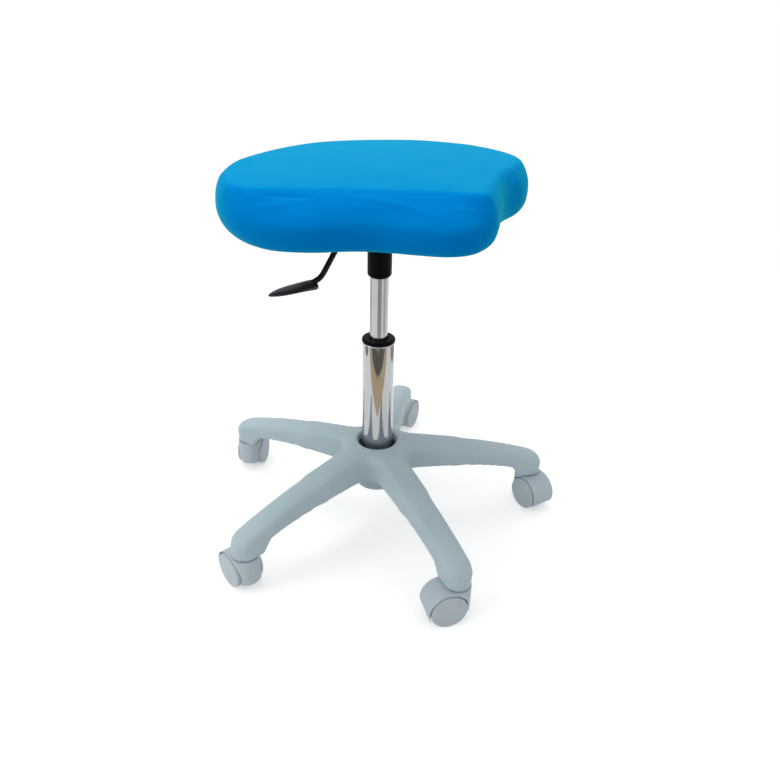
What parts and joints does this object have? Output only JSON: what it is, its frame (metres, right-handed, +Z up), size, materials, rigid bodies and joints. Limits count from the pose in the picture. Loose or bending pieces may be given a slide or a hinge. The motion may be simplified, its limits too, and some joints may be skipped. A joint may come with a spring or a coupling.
{
  "type": "saddle stool",
  "caption": "Height-adjustable saddle stool with a padded, waisted saddle seat, gas lift, release lever, moulded star base and swivel casters.",
  "frame": {"origin": "point on the floor under the column's axis", "axes": "+Z up along the column; the seat's nose points 55.7 degrees from +X towards -Y, as in the picture"},
  "size_m": [0.572, 0.5918, 0.592],
  "materials": {
    "blue_vinyl": "smooth satin vinyl",
    "seat_foam": "open-cell foam",
    "plywood": "raw",
    "liner_cloth": "matt non-woven cloth",
    "grey_nylon": "satin moulded nylon",
    "wheel_nylon": "satin moulded nylon",
    "chrome": "polished",
    "black_steel": "satin powder coat",
    "black_plastic": "satin",
    "bare_steel": "zinc plated",
    "black_rubber": "matt"
  },
  "bodies": {
    "base": {"base_star": "grey_nylon", "hub_ring": "bare_steel", "column_tube": "chrome", "guide_bush": "black_plastic", "bearing_lower_washer": "bare_steel", "bearing_ball_ring": "bare_steel"},
    "lift_rod": {"piston_rod": "bare_steel", "piston": "black_plastic", "bearing_upper_washer": "bare_steel", "rod_bumper": "black_rubber", "rod_clip": "bare_steel"},
    "seat": {"gas_cylinder": "chrome", "rod_seal": "black_rubber", "taper_socket": "black_steel", "seat_plate": "black_steel", "seat_board": "plywood", "seat_foam": "seat_foam", "seat_cover": "blue_vinyl", "seat_liner": "liner_cloth", "lever_bracket": "black_steel", "lever_pin": "bare_steel", "seat_bolt_1": "bare_steel", "seat_bolt_2": "bare_steel", "seat_bolt_3": "bare_steel", "seat_bolt_4": "bare_steel", "seat_nut_1": "bare_steel", "seat_nut_2": "bare_steel", "seat_nut_3": "bare_steel", "seat_nut_4": "bare_steel"},
    "lever": {"lever_rod": "black_steel", "lever_grip": "black_plastic"},
    "release_button": {"release_button": "bare_steel"},
    "caster_1": {"caster_hood_1": "grey_nylon", "caster_stem_1": "bare_steel", "caster_axle_1": "bare_steel"},
    "wheel_left_1": {"caster_wheel_left_1": "wheel_nylon"},
    "wheel_right_1": {"caster_wheel_right_1": "wheel_nylon"},
    "caster_2": {"caster_hood_2": "grey_nylon", "caster_stem_2": "bare_steel", "caster_axle_2": "bare_steel"},
    "wheel_left_2": {"caster_wheel_left_2": "wheel_nylon"},
    "wheel_right_2": {"caster_wheel_right_2": "wheel_nylon"},
    "caster_3": {"caster_hood_3": "grey_nylon", "caster_stem_3": "bare_steel", "caster_axle_3": "bare_steel"},
    "wheel_left_3": {"caster_wheel_left_3": "wheel_nylon"},
    "wheel_right_3": {"caster_wheel_right_3": "wheel_nylon"},
    "caster_4": {"caster_hood_4": "grey_nylon", "caster_stem_4": "bare_steel", "caster_axle_4": "bare_steel"},
    "wheel_left_4": {"caster_wheel_left_4": "wheel_nylon"},
    "wheel_right_4": {"caster_wheel_right_4": "wheel_nylon"},
    "caster_5": {"caster_hood_5": "grey_nylon", "caster_stem_5": "bare_steel", "caster_axle_5": "bare_steel"},
    "wheel_left_5": {"caster_wheel_left_5": "wheel_nylon"},
    "wheel_right_5": {"caster_wheel_right_5": "wheel_nylon"}
  },
  "joints": [
    {"name": "seat_swivel", "type": "hinge", "parent": "base", "child": "lift_rod", "pos_m": [0, 0, 0.08], "axis": [0, 0, 1], "continuous": true},
    {"name": "seat_lift", "type": "slide", "parent": "lift_rod", "child": "seat", "axis": [0, 0, 1], "range_m": [-0.095, 0.03]},
    {"name": "lever_press", "type": "hinge", "parent": "seat", "child": "lever", "pos_m": [-0.0223, -0.01521, 0.504], "axis": [-0.5635, 0.8261, 0], "range_deg": [0, 8], "stiffness_Nm_per_rad": 4, "springref_deg": -2.86},
    {"name": "button_press", "type": "slide", "parent": "seat", "child": "release_button", "axis": [0, 0, -1], "range_m": [0, 0.005]},
    {"name": "caster_swivel_1", "type": "hinge", "parent": "base", "child": "caster_1", "pos_m": [0.26569, 0.04208, 0.06], "axis": [0, 0, 1], "continuous": true},
    {"name": "wheel_spin_left_1", "type": "hinge", "parent": "caster_1", "child": "wheel_left_1", "pos_m": [0.2747, 0.02766, 0.0275], "axis": [0.848, 0.5299, 0], "continuous": true},
    {"name": "wheel_spin_right_1", "type": "hinge", "parent": "caster_1", "child": "wheel_right_1", "pos_m": [0.2747, 0.02766, 0.0275], "axis": [0.848, 0.5299, 0], "continuous": true},
    {"name": "caster_swivel_2", "type": "hinge", "parent": "base", "child": "caster_2", "pos_m": [0.04208, 0.26569, 0.06], "axis": [0, 0, 1], "continuous": true},
    {"name": "wheel_spin_left_2", "type": "hinge", "parent": "caster_2", "child": "wheel_left_2", "pos_m": [0.04927, 0.28109, 0.0275], "axis": [-0.9063, 0.4226, 0], "continuous": true},
    {"name": "wheel_spin_right_2", "type": "hinge", "parent": "caster_2", "child": "wheel_right_2", "pos_m": [0.04927, 0.28109, 0.0275], "axis": [-0.9063, 0.4226, 0], "continuous": true},
    {"name": "caster_swivel_3", "type": "hinge", "parent": "base", "child": "caster_3", "pos_m": [-0.23968, 0.12212, 0.06], "axis": [0, 0, 1], "continuous": true},
    {"name": "wheel_spin_left_3", "type": "hinge", "parent": "caster_3", "child": "wheel_left_3", "pos_m": [-0.23761, 0.139, 0.0275], "axis": [-0.9925, 0.1219, 0], "continuous": true},
    {"name": "wheel_spin_right_3", "type": "hinge", "parent": "caster_3", "child": "wheel_right_3", "pos_m": [-0.23761, 0.139, 0.0275], "axis": [-0.9925, 0.1219, 0], "continuous": true},
    {"name": "caster_swivel_4", "type": "hinge", "parent": "base", "child": "caster_4", "pos_m": [-0.19021, -0.19021, 0.06], "axis": [0, 0, 1], "continuous": true},
    {"name": "wheel_spin_left_4", "type": "hinge", "parent": "caster_4", "child": "wheel_left_4", "pos_m": [-0.20159, -0.17758, 0.0275], "axis": [-0.7431, -0.6691, 0], "continuous": true},
    {"name": "wheel_spin_right_4", "type": "hinge", "parent": "caster_4", "child": "wheel_right_4", "pos_m": [-0.20159, -0.17758, 0.0275], "axis": [-0.7431, -0.6691, 0], "continuous": true},
    {"name": "caster_swivel_5", "type": "hinge", "parent": "base", "child": "caster_5", "pos_m": [0.12212, -0.23968, 0.06], "axis": [0, 0, 1], "continuous": true},
    {"name": "wheel_spin_left_5", "type": "hinge", "parent": "caster_5", "child": "wheel_left_5", "pos_m": [0.10587, -0.24465, 0.0275], "axis": [0.2924, -0.9563, 0], "continuous": true},
    {"name": "wheel_spin_right_5", "type": "hinge", "parent": "caster_5", "child": "wheel_right_5", "pos_m": [0.10587, -0.24465, 0.0275], "axis": [0.2924, -0.9563, 0], "continuous": true}
  ],
  "couplings": [
    {"joint": "button_press", "follows": "lever_press", "m_per_rad": 0.031}
  ]
}
